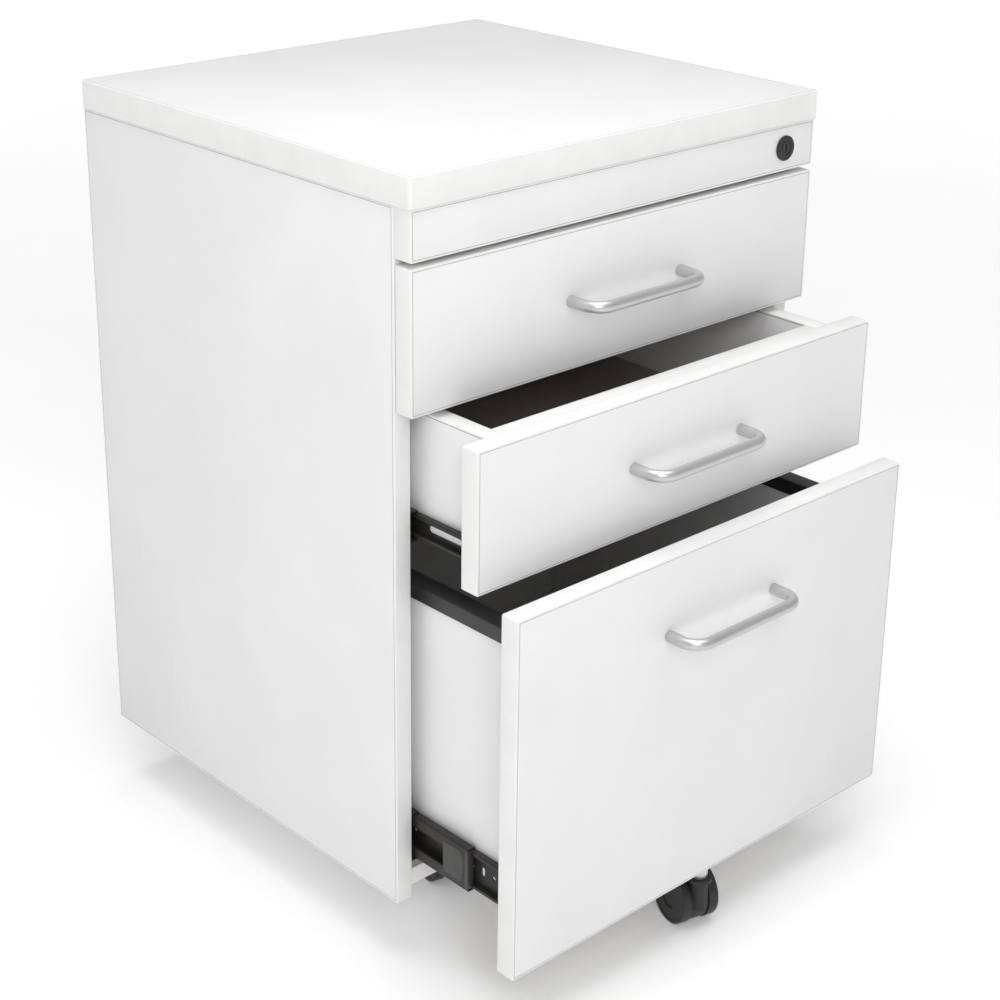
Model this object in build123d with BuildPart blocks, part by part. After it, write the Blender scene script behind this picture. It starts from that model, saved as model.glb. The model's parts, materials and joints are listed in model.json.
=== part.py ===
from build123d import *
from math import cos, radians, sin
import os

# Rolling pedestal cabinet: two shallow drawers over a suspension-file drawer, on castors.
# Frame: millimetres, +Z up, the fronts face -Y. The origin is on the floor, below the
# centre of the lid. The middle drawer and the file drawer stand partly open.

# ---------------------------------------------------------------- overall sizes
cabinet_width = 465.0       # across the lid
cabinet_depth = 441.0       # front to back of the lid
cabinet_height = 690.0      # floor to the top of the lid

# ---------------------------------------------------------------- boards
lid_thickness = 25.0
board = 16.0                # sides, back, base and drawer boxes
front_thickness = 18.0
lid_side_overhang = 1.5
lid_front_overhang = 2.0    # lid beyond the face of the closed fronts
lid_back_overhang = 1.0
front_inset = 0.5           # front edge behind the outer face of the side panels
closed_gap = 1.0            # closed front to the edge of the carcass
base_setback = 13.5
lid_corner_radius = 4.0
front_corner_radius = 2.0
edge_radius = 1.0

# ---------------------------------------------------------------- front layout
rail_height = 41.0
rail_gap = 4.5
shallow_front_height = 117.5
front_spacing = 3.0
file_front_drop = 0.5       # file front below the underside of the carcass

# ---------------------------------------------------------------- drawer boxes
runner_gap = 12.7           # box side to side panel
box_rear_gap = 19.0         # back of the closed box to the back panel
box_above_front_bottom = 9.5
box_below_front_top = 3.0
file_box_above_front_bottom = 39.5
file_box_below_front_top = 33.5
shallow_bottom_thickness = 4.0
file_bottom_thickness = 8.0
bottom_groove_depth = 6.0
bottom_groove_height = 10.0
groove_clearance = 0.15
drawer_openings = {"drawer_1": 0.0, "drawer_2": 75.0, "file_drawer": 120.0}

# ---------------------------------------------------------------- handles
handle_centres = 128.0
handle_radius = 5.0
handle_reach = 30.0         # front face to the axis of the grip
handle_bend = 16.0
file_handle_below_top = 68.5
screw_radius = 2.0
screw_head_radius = 4.0
screw_head_height = 2.5
screw_grip = 8.0            # thread inside the handle
screw_hole_clearance = 0.3
screw_thread_fit = 0.05
screw_hole_spare = 1.0      # blind hole beyond the end of the screw

# ---------------------------------------------------------------- runners
runner_setback = 1.5        # front end of the cabinet member behind the carcass edge
runner_rear_gap = 16.5      # back end of the cabinet member to the back panel
small_member_height = 27.0
small_inner_height = 20.0
small_sheet = 1.1
file_member_height = 45.7
file_middle_height = 40.0
file_inner_height = 34.4
file_sheet = 1.2
file_runner_above_box = 17.5
member_clearance = 3.7      # cabinet member's flange ends to the drawer box
inner_member_clearance = 6.2
middle_clearance = 0.5      # middle member off the screw heads behind it
middle_web_gap = 0.3        # middle member's flange ends to the drawer member
middle_share = 0.56         # middle member's share of the file drawer's travel
slot_height = 6.0
slot_length = 38.0
slot_pitch = 64.0
slot_inset = 46.0           # end of the member to the middle of its first slot
file_slot_width = 4.0
file_slot_height = 9.0
file_slot_pitch = 96.0
file_slot_inset = 43.5
file_hole_offset = 12.5     # round holes either side of each upright slot
file_hole_radius = 2.0
window_end = 30.0           # end of the middle member to its long window
window_corner = 2.0
cage_thickness = 1.0
cage_half_width = 2.0
small_cage_length = 90.0
file_cage_length = 150.0
balls_per_strip = 7
ball_clearance = 0.15
runner_screw_insets = (37.0, 133.0)  # from the front end of the cabinet member
runner_screw_rear_inset = 32.0
screw_bore_spare = 0.5
runner_screw_radius = 1.9
runner_screw_head_radius = 3.6
runner_screw_head_height = 1.2
runner_screw_depth = 12.0

# ---------------------------------------------------------------- file rails
rail_sheet = 1.0
rail_skirt = 12.0
rail_fit = 0.05
rail_front_gap = 0.5        # rail behind the back of the front

# ---------------------------------------------------------------- lock
lock_from_side = 40.1       # lock axis to the outer edge of the lid
rosette_radius = 11.0
rosette_thickness = 2.2
rosette_chamfer = 0.8
plug_recess = 0.4           # plug behind the face of the rosette
barrel_radius = 9.0
plug_radius = 6.0
lock_fit = 0.1
keyway_width = 1.8
keyway_height = 8.0
keyway_depth = 12.0
arm_radius = 10.0           # plug axis to the drive pin
arm_thickness = 2.0
arm_width = 8.0
arm_clearance = 0.3         # arm behind the lock rail
drive_pin_radius = 2.0
drive_pin_length = 4.0
drive_slot_clearance = 0.4
drive_slot_play = 0.65      # above and below the pin
arm_rest_angle = 45.0
bar_width = 12.0
bar_thickness = 3.5
bar_groove_depth = 5.0
bar_groove_clearance = 0.6
bar_sunk = 1.0              # bar below the inner face of the side panel
bar_setback = 9.5           # front of the bar behind the carcass edge
bar_end_clearance = 6.0     # groove below the lowest place of the bar
bar_head_below = 8.0        # head of the bar below and above the rest drive pin
bar_head_above = 7.0
bar_head_reach = 3.3        # head proud of the side panel
bar_head_thickness = 2.0
bar_head_from_arm = 1.2
bar_head_to_lock = 3.5      # end of the head to the lock axis
bar_panel_gap = 0.3
bar_pin_radius = 3.0
bar_pin_root = 0.5
pin_box_clearance = 4.2     # end of a pin to the drawer box
shallow_pin_below_top = 34.5
file_pin_below_top = 68.5
catch_plate = 1.7
catch_panel_clearance = 2.0
catch_lug_height = 16.0
catch_lug_depth = 12.0
catch_clearance = 4.0       # free fall of the pin above an unlocked catch
catch_pin_gap = 1.0
catch_plate_front = 6.0     # plate ahead of and behind the front of its lug
catch_plate_back = 26.0

# ---------------------------------------------------------------- castors
castor_wheel_radius = 25.0
castor_wheel_width = 10.0
castor_wheel_crown = 3.5
castor_wheel_chamfer = 0.6
castor_hub_recess = 2.5
castor_hub_radius = 7.0
castor_disc_radius = 9.0
castor_body_width = 16.0
castor_body_inset = 1.0     # body inside the wheel's tread
castor_side_gap = 0.8
castor_trail = 20.0
castor_boss_radius = 11.0
castor_boss_rise = 2.0      # boss above the top of the wheels
castor_boss_rim = 3.0
castor_boss_floor = 8.0     # material under the kingpin
kingpin_radius = 4.0
kingpin_above_axle = 5.0
kingpin_end_gap = 1.0
axle_radius = 3.0
castor_fit = 0.05
collar_radius = 7.0
collar_lift = 0.3
castor_neck = 8.5           # boss to the mounting plate
castor_plate_size = 50.0
castor_plate_corner = 4.0
castor_plate_thickness = 2.5
castor_screw_pitch = 38.0
castor_screw_depth = 11.0
castor_screw_head = 2.0
stem_radius = 4.9
stem_length = 35.0
stem_fit = 0.1
stem_hole_spare = 1.0
castor_side_inset = 115.0   # swivel axis to the outer faces of the carcass
castor_front_inset = 60.5
castor_back_inset = 80.5
castor_angles = {
    "front_left": -13.0,
    "front_right": -38.0,
    "back_left": 24.0,
    "back_right": 9.0,
    "file": -15.0,
}

# ---------------------------------------------------------------- cam fittings
cam_radius = 7.5
cam_depth = 12.5
cam_edge_distance = 24.0
cam_end_distance = 80.5     # from the front and back ends of a side panel
cam_height_inset = 90.0     # from the top and bottom of the back panel
cam_bolt_radius = 3.0
cam_bolt_engagement = 11.0
cam_clearance = 0.1

# ---------------------------------------------------------------- worked-out places
front_plane = -cabinet_depth / 2 + lid_front_overhang
front_back = front_plane + front_thickness
carcass_front = front_back + closed_gap
carcass_back = cabinet_depth / 2 - lid_back_overhang
carcass_half = cabinet_width / 2 - lid_side_overhang
inner_half = carcass_half - board
front_half = carcass_half - front_inset
back_inner = carcass_back - board
castor_body_radius = castor_wheel_radius - castor_body_inset
castor_boss_top = 2 * castor_wheel_radius + castor_boss_rise
kingpin_bottom = castor_wheel_radius + kingpin_above_axle
underside_height = castor_boss_top + castor_neck + castor_plate_thickness
lid_underside = cabinet_height - lid_thickness
rail_bottom = lid_underside - rail_height
box_half = inner_half - runner_gap
box_inner_half = box_half - board
box_depth = back_inner - box_rear_gap - front_back
runner_front = carcass_front + runner_setback
runner_back = back_inner - runner_rear_gap
runner_length = runner_back - runner_front
member_flange = runner_gap - member_clearance
inner_member_flange = runner_gap - inner_member_clearance
middle_start = file_sheet + runner_screw_head_height + middle_clearance
middle_end = runner_gap - file_sheet - middle_web_gap
base_front = carcass_front + base_setback

drawer_1_top = rail_bottom - rail_gap
drawer_1_bottom = drawer_1_top - shallow_front_height
drawer_2_top = drawer_1_bottom - front_spacing
drawer_2_bottom = drawer_2_top - shallow_front_height
file_top = drawer_2_bottom - front_spacing
file_bottom = underside_height - file_front_drop

front_spans = {
    "drawer_1": (drawer_1_bottom, drawer_1_top),
    "drawer_2": (drawer_2_bottom, drawer_2_top),
    "file_drawer": (file_bottom, file_top),
}
box_spans = {
    name: (bottom + box_above_front_bottom, top - box_below_front_top)
    for name, (bottom, top) in front_spans.items()
}
file_box_bottom = file_bottom + file_box_above_front_bottom
box_spans["file_drawer"] = (file_box_bottom, file_top - file_box_below_front_top)
handle_heights = {name: (bottom + top) / 2 for name, (bottom, top) in front_spans.items()}
handle_heights["file_drawer"] = file_top - file_handle_below_top
runner_heights = {name: span[0] + small_inner_height / 2 for name, span in box_spans.items()}
runner_heights["file_drawer"] = file_box_bottom + file_runner_above_box
bottom_thickness = dict.fromkeys(front_spans, shallow_bottom_thickness)
bottom_thickness["file_drawer"] = file_bottom_thickness
pin_heights = {name: top - shallow_pin_below_top for name, (_, top) in front_spans.items()}
pin_heights["file_drawer"] = file_top - file_pin_below_top

lock_x = cabinet_width / 2 - lock_from_side
lock_z = (rail_bottom + lid_underside) / 2
arm_front = carcass_front + arm_clearance
bar_travel = 2 * arm_radius * sin(radians(arm_rest_angle))
bar_front = carcass_front + bar_setback
bar_middle = bar_front + bar_width / 2
bar_inner = inner_half + bar_sunk
bar_pin_length = runner_gap - pin_box_clearance + bar_sunk + bar_pin_root
catch_lug_length = runner_gap - catch_plate - catch_panel_clearance
castor_x = carcass_half - castor_side_inset
castor_front = carcass_front + castor_front_inset
castor_back = carcass_back - castor_back_inset

castor_places = {
    "front_left": (-castor_x, castor_front),
    "front_right": (castor_x, castor_front),
    "back_left": (-castor_x, castor_back),
    "back_right": (castor_x, castor_back),
    "file": (0.0, front_plane + front_thickness / 2 - drawer_openings["file_drawer"]),
}
base_castors = [name for name in castor_places if name != "file"]

os.makedirs("parts", exist_ok=True)


# ---------------------------------------------------------------- shared shapes
def slab(x_span, y_span, z_span, mode=Mode.ADD):
    """A rectangular block between two opposite corners, in the piece being built."""
    middle = [(low + high) / 2 for low, high in (x_span, y_span, z_span)]
    length, depth, height = [high - low for low, high in (x_span, y_span, z_span)]
    with Locations(tuple(middle)):
        Box(length, depth, height, mode=mode)


def rod(start, direction, radius, length, mode=Mode.ADD):
    """A round bar or bore from a start point along a direction."""
    with BuildSketch(Plane(origin=start, z_dir=direction)) as section:
        Circle(radius)
    extrude(section.sketch, amount=length, mode=mode)


def cam_places():
    """Cam fittings: the face centre, the way into the board and the way to the bolt."""
    up, down = (0, 0, 1), (0, 0, -1)
    places = []
    for side in (-1, 1):
        outward = (side, 0, 0)
        for y in (carcass_front + cam_end_distance, carcass_back - cam_end_distance):
            top_height = lid_underside - cam_edge_distance
            places.append(("lid", (side * inner_half, y, top_height), outward, up))
            edge = side * (inner_half - cam_edge_distance)
            places.append(("base", (edge, y, underside_height), up, outward))
        for z in (underside_height + cam_height_inset, lid_underside - cam_height_inset):
            edge = side * (inner_half - cam_edge_distance)
            places.append(("back", (edge, back_inner, z), (0, 1, 0), outward))
    return places


def cam_set(place, clearance, mode):
    """One cam disc and its bolt, or with a clearance the bores that hold them."""
    kind, centre, inward, toward_bolt = place
    rod(centre, inward, cam_radius + clearance, cam_depth + clearance, mode)
    axis = Vector(*centre) + Vector(*inward) * (board / 2)
    start = axis + Vector(*toward_bolt) * (cam_radius + cam_clearance - clearance)
    reach = cam_edge_distance + cam_bolt_engagement - cam_radius - cam_clearance
    rod(tuple(start), toward_bolt, cam_bolt_radius + clearance, reach + 2 * clearance, mode)


def bore_cams(kinds):
    for place in cam_places():
        if place[0] in kinds:
            cam_set(place, cam_clearance, Mode.SUBTRACT)


def channel(z_middle, height, sheet, t_span, web_at_start, y_span):
    """A pressed runner member on the right: a web and two flanges, open on one side.

    t_span counts from the side panel towards the drawer box.
    """
    x_from = inner_half - t_span[1]
    x_to = inner_half - t_span[0]
    half = height / 2
    web = (x_to - sheet, x_to) if web_at_start else (x_from, x_from + sheet)
    slab(web, y_span, (z_middle - half, z_middle + half))
    for edge in (-1, 1):
        flange = sorted((z_middle + edge * half, z_middle + edge * (half - sheet)))
        slab((x_from, x_to), y_span, tuple(flange))


def slot_places(start, inset, pitch):
    """Places of the slots along a runner member that starts at the given end."""
    count = int((runner_length - 2 * inset) // pitch) + 1
    return [start + inset + step * pitch for step in range(count)]


def web_slots(z_middle, x_middle, y_places, length, height):
    """Rounded slots along the web of a runner member."""
    with BuildSketch(Plane.YZ.offset(x_middle - file_sheet)) as slots:
        with Locations(*[(y, z_middle) for y in y_places]):
            SlotOverall(length, height)
    extrude(slots.sketch, amount=2 * file_sheet, mode=Mode.SUBTRACT)


def upright_slots(z_middle, x_middle, y_places):
    """Upright slots with a round hole either side, through a file drawer member."""
    with BuildSketch(Plane.YZ.offset(x_middle - file_sheet)) as slots:
        with Locations(*[(y, z_middle) for y in y_places]):
            SlotOverall(file_slot_height, file_slot_width, rotation=90)
            with GridLocations(2 * file_hole_offset, 1.0, 2, 1):
                Circle(file_hole_radius)
    extrude(slots.sketch, amount=2 * file_sheet, mode=Mode.SUBTRACT)


def runner_screw_places(name):
    """Places of the screws that hold a pair of cabinet members, right-hand side."""
    ends = [runner_front + inset for inset in runner_screw_insets]
    ends.append(runner_back - runner_screw_rear_inset)
    return [(inner_half, y, runner_heights[name]) for y in ends]


def ball_strips(z_middle, inner_flange, outer_flange, t_middle, y_middle, length):
    """Upper and lower strips of balls between two runner members, right-hand side."""
    z_gap = (inner_flange + outer_flange) / 2
    ball_radius = (outer_flange - inner_flange) / 2 - ball_clearance
    x = inner_half - t_middle
    pitch = length / balls_per_strip
    for edge in (-1, 1):
        z = z_middle + edge * z_gap
        half = cage_thickness / 2
        x_span = (x - cage_half_width, x + cage_half_width)
        slab(x_span, (y_middle - length / 2, y_middle + length / 2), (z - half, z + half))
        with Locations((x, y_middle, z)):
            with GridLocations(1.0, pitch, 1, balls_per_strip):
                Sphere(ball_radius)


# ---------------------------------------------------------------- carcass
with BuildPart() as lid_panel:
    lid_half = cabinet_width / 2
    slab((-lid_half, lid_half), (-cabinet_depth / 2, cabinet_depth / 2), (lid_underside, cabinet_height))
    fillet(lid_panel.edges().filter_by(Axis.Z), radius=lid_corner_radius)
    rims = lid_panel.faces().filter_by(Axis.Z).edges()
    fillet(rims, radius=edge_radius)
    bore_cams(("lid",))
lid_panel.part.label = "lid_panel"
export_step(lid_panel.part, "parts/lid_panel.step")

for side, side_name in ((-1, "left"), (1, "right")):
    with BuildPart() as side_panel:
        x_span = tuple(sorted((side * carcass_half, side * inner_half)))
        slab(x_span, (carcass_front, carcass_back), (underside_height, lid_underside))
        fillet(side_panel.edges().filter_by(Axis.Z), radius=edge_radius)
        bore_cams(("lid", "base", "back"))
        for name in front_spans:
            for x, y, z in runner_screw_places(name):
                start = (side * x, y, z)
                radius = runner_screw_radius + cam_clearance
                rod(start, (side, 0, 0), radius, runner_screw_depth + screw_bore_spare, Mode.SUBTRACT)
        if side > 0:
            bar_lowest = pin_heights["file_drawer"] - bar_travel - 2 * bar_pin_radius
            slab(
                (inner_half, inner_half + bar_groove_depth),
                (bar_front - bar_groove_clearance, bar_front + bar_width + bar_groove_clearance),
                (bar_lowest - bar_end_clearance, lid_underside),
                Mode.SUBTRACT,
            )
    side_panel.part.label = f"side_panel_{side_name}"
    export_step(side_panel.part, f"parts/side_panel_{side_name}.step")

with BuildPart() as back_panel:
    slab((-inner_half, inner_half), (back_inner, carcass_back), (underside_height, lid_underside))
    bore_cams(("back",))
back_panel.part.label = "back_panel"
export_step(back_panel.part, "parts/back_panel.step")

with BuildPart() as base_panel:
    base_top = underside_height + board
    slab((-inner_half, inner_half), (base_front, back_inner), (underside_height, base_top))
    bore_cams(("base",))
    for name in base_castors:
        x, y = castor_places[name]
        with BuildSketch(Plane.XY.offset(underside_height)):
            with Locations((x, y)):
                with GridLocations(castor_screw_pitch, castor_screw_pitch, 2, 2):
                    Circle(runner_screw_radius + cam_clearance)
        extrude(amount=castor_screw_depth + screw_bore_spare, mode=Mode.SUBTRACT)
base_panel.part.label = "base_panel"
export_step(base_panel.part, "parts/base_panel.step")

with BuildPart() as lock_rail:
    slab((-front_half, front_half), (front_plane, carcass_front), (rail_bottom, lid_underside))
    fillet(lock_rail.edges().filter_by(Axis.Y).group_by(Axis.Z)[0], radius=front_corner_radius)
    fillet(lock_rail.faces().sort_by(Axis.Y)[0].edges().group_by(Axis.Z)[0], radius=edge_radius / 2)
    rod((lock_x, front_plane, lock_z), (0, 1, 0), barrel_radius + lock_fit, board * 2, Mode.SUBTRACT)
lock_rail.part.label = "lock_rail"
export_step(lock_rail.part, "parts/lock_rail.step")

with BuildPart() as cam_fittings:
    for place in cam_places():
        cam_set(place, 0.0, Mode.ADD)
cam_fittings.part.label = "cam_fittings"
export_step(cam_fittings.part, "parts/cam_fittings.step")

# ---------------------------------------------------------------- lock
with BuildPart() as lock_housing:
    rod((lock_x, carcass_front, lock_z), (0, -1, 0), barrel_radius, carcass_front - front_plane)
    rod((lock_x, front_plane, lock_z), (0, -1, 0), rosette_radius, rosette_thickness)
    chamfer(lock_housing.faces().sort_by(Axis.Y)[0].edges(), length=rosette_chamfer)
    start = (lock_x, front_plane - 2 * rosette_thickness, lock_z)
    rod(start, (0, 1, 0), plug_radius + lock_fit, 2 * cabinet_depth, Mode.SUBTRACT)
lock_housing.part.label = "lock_housing"
export_step(lock_housing.part, "parts/lock_housing.step")

with BuildPart() as lock_plug:
    plug_front = front_plane - rosette_thickness + plug_recess
    rod((lock_x, plug_front, lock_z), (0, 1, 0), plug_radius, arm_front + arm_thickness - plug_front)
    slab(
        (lock_x - keyway_width / 2, lock_x + keyway_width / 2),
        (plug_front - 1.0, plug_front + keyway_depth),
        (lock_z - keyway_height / 2, lock_z + keyway_height / 2),
        Mode.SUBTRACT,
    )
    arm_plane = Plane(origin=(lock_x, arm_front, lock_z), x_dir=(1, 0, 0), z_dir=(0, -1, 0))
    with BuildSketch(arm_plane) as arm:
        with Locations(Location((0, 0, 0), (0, 0, arm_rest_angle))):
            SlotCenterToCenter(arm_radius * 2, arm_width)
        with Locations(Location((0, 0, 0), (0, 0, arm_rest_angle))):
            with Locations((-arm_radius, 0)):
                Rectangle(arm_radius, arm_width * 2, mode=Mode.SUBTRACT)
    extrude(arm.sketch, amount=-arm_thickness)
    drive_x = lock_x + arm_radius * cos(radians(arm_rest_angle))
    drive_z = lock_z + arm_radius * sin(radians(arm_rest_angle))
    rod((drive_x, arm_front, drive_z), (0, 1, 0), drive_pin_radius, arm_thickness + drive_pin_length)
lock_plug.part.label = "lock_plug"
export_step(lock_plug.part, "parts/lock_plug.step")

with BuildPart() as lock_bar:
    bar_outer = bar_inner + bar_thickness
    bar_foot = pin_heights["file_drawer"] - 2 * bar_pin_radius
    head_span = (drive_z - bar_head_below, drive_z + bar_head_above)
    bar_span = (bar_front, bar_front + bar_width)
    slab((bar_inner, bar_outer), bar_span, (bar_foot, head_span[1]))
    head_inner = inner_half - bar_head_reach
    slab((head_inner, bar_outer), bar_span, head_span)
    head_front = arm_front + arm_thickness + bar_head_from_arm
    slab((head_inner, inner_half - bar_panel_gap), (head_front, bar_front + bar_sunk), head_span)
    tongue = (lock_x + bar_head_to_lock, inner_half - bar_panel_gap)
    slab(tongue, (head_front, head_front + bar_head_thickness), head_span)
    slot_low = drive_x - drive_pin_radius - drive_slot_clearance
    slot_high = lock_x + arm_radius + drive_pin_radius + drive_slot_clearance
    slot_half = drive_pin_radius + drive_slot_play
    slab(
        (slot_low, slot_high),
        (head_front - bar_sunk, head_front + bar_head_thickness + bar_sunk),
        (drive_z - slot_half, drive_z + slot_half),
        Mode.SUBTRACT,
    )
    for height in pin_heights.values():
        pin_start = (bar_inner + bar_pin_root, bar_middle, height)
        rod(pin_start, (-1, 0, 0), bar_pin_radius, bar_pin_length)
lock_bar.part.label = "lock_bar"
export_step(lock_bar.part, "parts/lock_bar.step")

# ---------------------------------------------------------------- cabinet halves of the runners
for name in front_spans:
    is_file = name == "file_drawer"
    height = file_member_height if is_file else small_member_height
    sheet = file_sheet if is_file else small_sheet
    with BuildPart() as cabinet_runners:
        channel(
            runner_heights[name], height, sheet, (0, member_flange), True, (runner_front, runner_back)
        )
        for place in runner_screw_places(name):
            rod(place, (-1, 0, 0), runner_screw_radius + cam_clearance, sheet, Mode.SUBTRACT)
        mirror(about=Plane.YZ)
    cabinet_runners.part.label = f"{name}_cabinet_runners"
    export_step(cabinet_runners.part, f"parts/{name}_cabinet_runners.step")

with BuildPart() as runner_screws:
    for name in front_spans:
        sheet = file_sheet if name == "file_drawer" else small_sheet
        for x, y, z in runner_screw_places(name):
            rod((x - sheet, y, z), (1, 0, 0), runner_screw_radius, runner_screw_depth + sheet)
            head = (x - sheet - runner_screw_head_height, y, z)
            rod(head, (1, 0, 0), runner_screw_head_radius, runner_screw_head_height)
    mirror(about=Plane.YZ)
runner_screws.part.label = "runner_screws"
export_step(runner_screws.part, "parts/runner_screws.step")

# ---------------------------------------------------------------- drawers
for name, (front_low, front_high) in front_spans.items():
    is_file = name == "file_drawer"
    opening = drawer_openings[name]
    box_low, box_high = box_spans[name]
    face = front_plane - opening
    behind_front = front_back - opening
    box_back = behind_front + box_depth
    floor_low = box_low + bottom_groove_height
    floor_high = floor_low + bottom_thickness[name]
    handle_z = handle_heights[name]
    runner_z = runner_heights[name]

    with BuildPart() as front:
        slab((-front_half, front_half), (face, behind_front), (front_low, front_high))
        fillet(front.edges().filter_by(Axis.Y), radius=front_corner_radius)
        fillet(front.faces().sort_by(Axis.Y)[0].edges(), radius=edge_radius)
        for side in (-1, 1):
            start = (side * handle_centres / 2, face, handle_z)
            rod(start, (0, 1, 0), screw_radius + screw_hole_clearance, front_thickness, Mode.SUBTRACT)
        if is_file:
            stem_start = (0, face + front_thickness / 2, front_low)
            stem_hole = stem_length + stem_hole_spare
            rod(stem_start, (0, 0, 1), stem_radius + stem_fit, stem_hole, Mode.SUBTRACT)
    front.part.label = f"{name}_front"
    export_step(front.part, f"parts/{name}_front.step")

    with BuildPart() as inner_front:
        y_span = (behind_front, behind_front + board)
        slab((-box_inner_half, box_inner_half), y_span, (box_low, box_high))
        slab(
            (-box_inner_half, box_inner_half),
            (behind_front + board - bottom_groove_depth, behind_front + board),
            (floor_low - groove_clearance, floor_high + groove_clearance),
            Mode.SUBTRACT,
        )
        for side in (-1, 1):
            start = (side * handle_centres / 2, behind_front, handle_z)
            rod(start, (0, 1, 0), screw_radius + screw_hole_clearance, board, Mode.SUBTRACT)
    inner_front.part.label = f"{name}_inner_front"
    export_step(inner_front.part, f"parts/{name}_inner_front.step")

    with BuildPart() as sides:
        slab((box_inner_half, box_half), (behind_front, box_back), (box_low, box_high))
        slab(
            (box_inner_half, box_inner_half + bottom_groove_depth),
            (behind_front + board - bottom_groove_depth, box_back),
            (floor_low - groove_clearance, floor_high + groove_clearance),
            Mode.SUBTRACT,
        )
        mirror(about=Plane.YZ)
    sides.part.label = f"{name}_sides"
    export_step(sides.part, f"parts/{name}_sides.step")

    with BuildPart() as back:
        y_span = (box_back - board, box_back)
        back_low = floor_high + groove_clearance
        slab((-box_inner_half, box_inner_half), y_span, (back_low, box_high))
    back.part.label = f"{name}_back"
    export_step(back.part, f"parts/{name}_back.step")

    with BuildPart() as bottom:
        half = box_inner_half + bottom_groove_depth - groove_clearance
        y_low = behind_front + board - bottom_groove_depth + groove_clearance
        slab((-half, half), (y_low, box_back), (floor_low, floor_high))
    bottom.part.label = f"{name}_bottom"
    export_step(bottom.part, f"parts/{name}_bottom.step")

    with BuildPart() as handle:
        end = handle_centres / 2
        grip = face - handle_reach
        with BuildLine(Plane.XY.offset(handle_z)) as bar_path:
            FilletPolyline((-end, face), (-end, grip), (end, grip), (end, face), radius=handle_bend)
        with BuildSketch(Plane(origin=(-end, face, handle_z), z_dir=(0, -1, 0))):
            Circle(handle_radius)
        sweep()
        for side in (-1, 1):
            start = (side * end, face, handle_z)
            screw_hole = screw_grip + screw_hole_spare
            rod(start, (0, -1, 0), screw_radius + screw_thread_fit, screw_hole, Mode.SUBTRACT)
    handle.part.label = f"{name}_handle"
    export_step(handle.part, f"parts/{name}_handle.step")

    with BuildPart() as handle_screws:
        seat = behind_front + board
        for side in (-1, 1):
            start = (side * handle_centres / 2, seat, handle_z)
            rod(start, (0, -1, 0), screw_radius, seat - face + screw_grip)
            rod(start, (0, 1, 0), screw_head_radius, screw_head_height)
    handle_screws.part.label = f"{name}_handle_screws"
    export_step(handle_screws.part, f"parts/{name}_handle_screws.step")

    with BuildPart() as drawer_runners:
        height = file_inner_height if is_file else small_inner_height
        sheet = file_sheet if is_file else small_sheet
        t_span = (runner_gap - inner_member_flange, runner_gap)
        y_span = (runner_front - opening, runner_back - opening)
        channel(runner_z, height, sheet, t_span, False, y_span)
        web_middle = box_half + sheet / 2
        if is_file:
            places = slot_places(y_span[0], file_slot_inset, file_slot_pitch)
            upright_slots(runner_z, web_middle, places)
        else:
            places = slot_places(y_span[0], slot_inset, slot_pitch)
            web_slots(runner_z, web_middle, places, slot_length, slot_height)
        mirror(about=Plane.YZ)
    drawer_runners.part.label = f"{name}_runners"
    export_step(drawer_runners.part, f"parts/{name}_runners.step")

    with BuildPart() as lock_catch:
        lug_top = pin_heights[name] - bar_pin_radius - catch_clearance
        lug_span = (lug_top - catch_lug_height, lug_top)
        lug_front = bar_middle + bar_pin_radius + catch_pin_gap - opening
        plate_span = (lug_front - catch_plate_front, lug_front + catch_plate_back)
        slab((box_half, box_half + catch_plate), plate_span, lug_span)
        lug_reach = box_half + catch_plate + catch_lug_length
        slab((box_half, lug_reach), (lug_front, lug_front + catch_lug_depth), lug_span)
        fillet(lock_catch.edges().filter_by(Axis.X).group_by(Axis.Z)[-1], radius=edge_radius)
    lock_catch.part.label = f"{name}_lock_catch"
    export_step(lock_catch.part, f"parts/{name}_lock_catch.step")

# ---------------------------------------------------------------- ball cages and middle members
for name in ("drawer_1", "drawer_2"):
    overlap = small_cage_length / 2
    middle = runner_back - overlap - runner_length / 2 - drawer_openings[name] / 2
    with BuildPart() as ball_cages:
        ball_strips(
            runner_heights[name],
            small_inner_height / 2,
            small_member_height / 2 - small_sheet,
            (runner_gap - inner_member_flange + member_flange) / 2,
            middle,
            small_cage_length,
        )
        mirror(about=Plane.YZ)
    ball_cages.part.label = f"{name}_ball_cages"
    export_step(ball_cages.part, f"parts/{name}_ball_cages.step")

file_z = runner_heights["file_drawer"]
file_opening = drawer_openings["file_drawer"]
with BuildPart() as middle_runners:
    middle_opening = middle_share * file_opening
    y_span = (runner_front - middle_opening, runner_back - middle_opening)
    channel(file_z, file_middle_height, file_sheet, (middle_start, middle_end), True, y_span)
    window_middle = (y_span[0] + y_span[1]) / 2
    web_x = inner_half - middle_start - file_sheet / 2
    window_length = runner_length - 2 * window_end
    with BuildSketch(Plane.YZ.offset(web_x - file_sheet)) as window:
        with Locations((window_middle, file_z)):
            RectangleRounded(window_length, file_middle_height / 2, window_corner)
    extrude(window.sketch, amount=2 * file_sheet, mode=Mode.SUBTRACT)
    mirror(about=Plane.YZ)
middle_runners.part.label = "file_drawer_middle_runners"
export_step(middle_runners.part, "parts/file_drawer_middle_runners.step")

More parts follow.
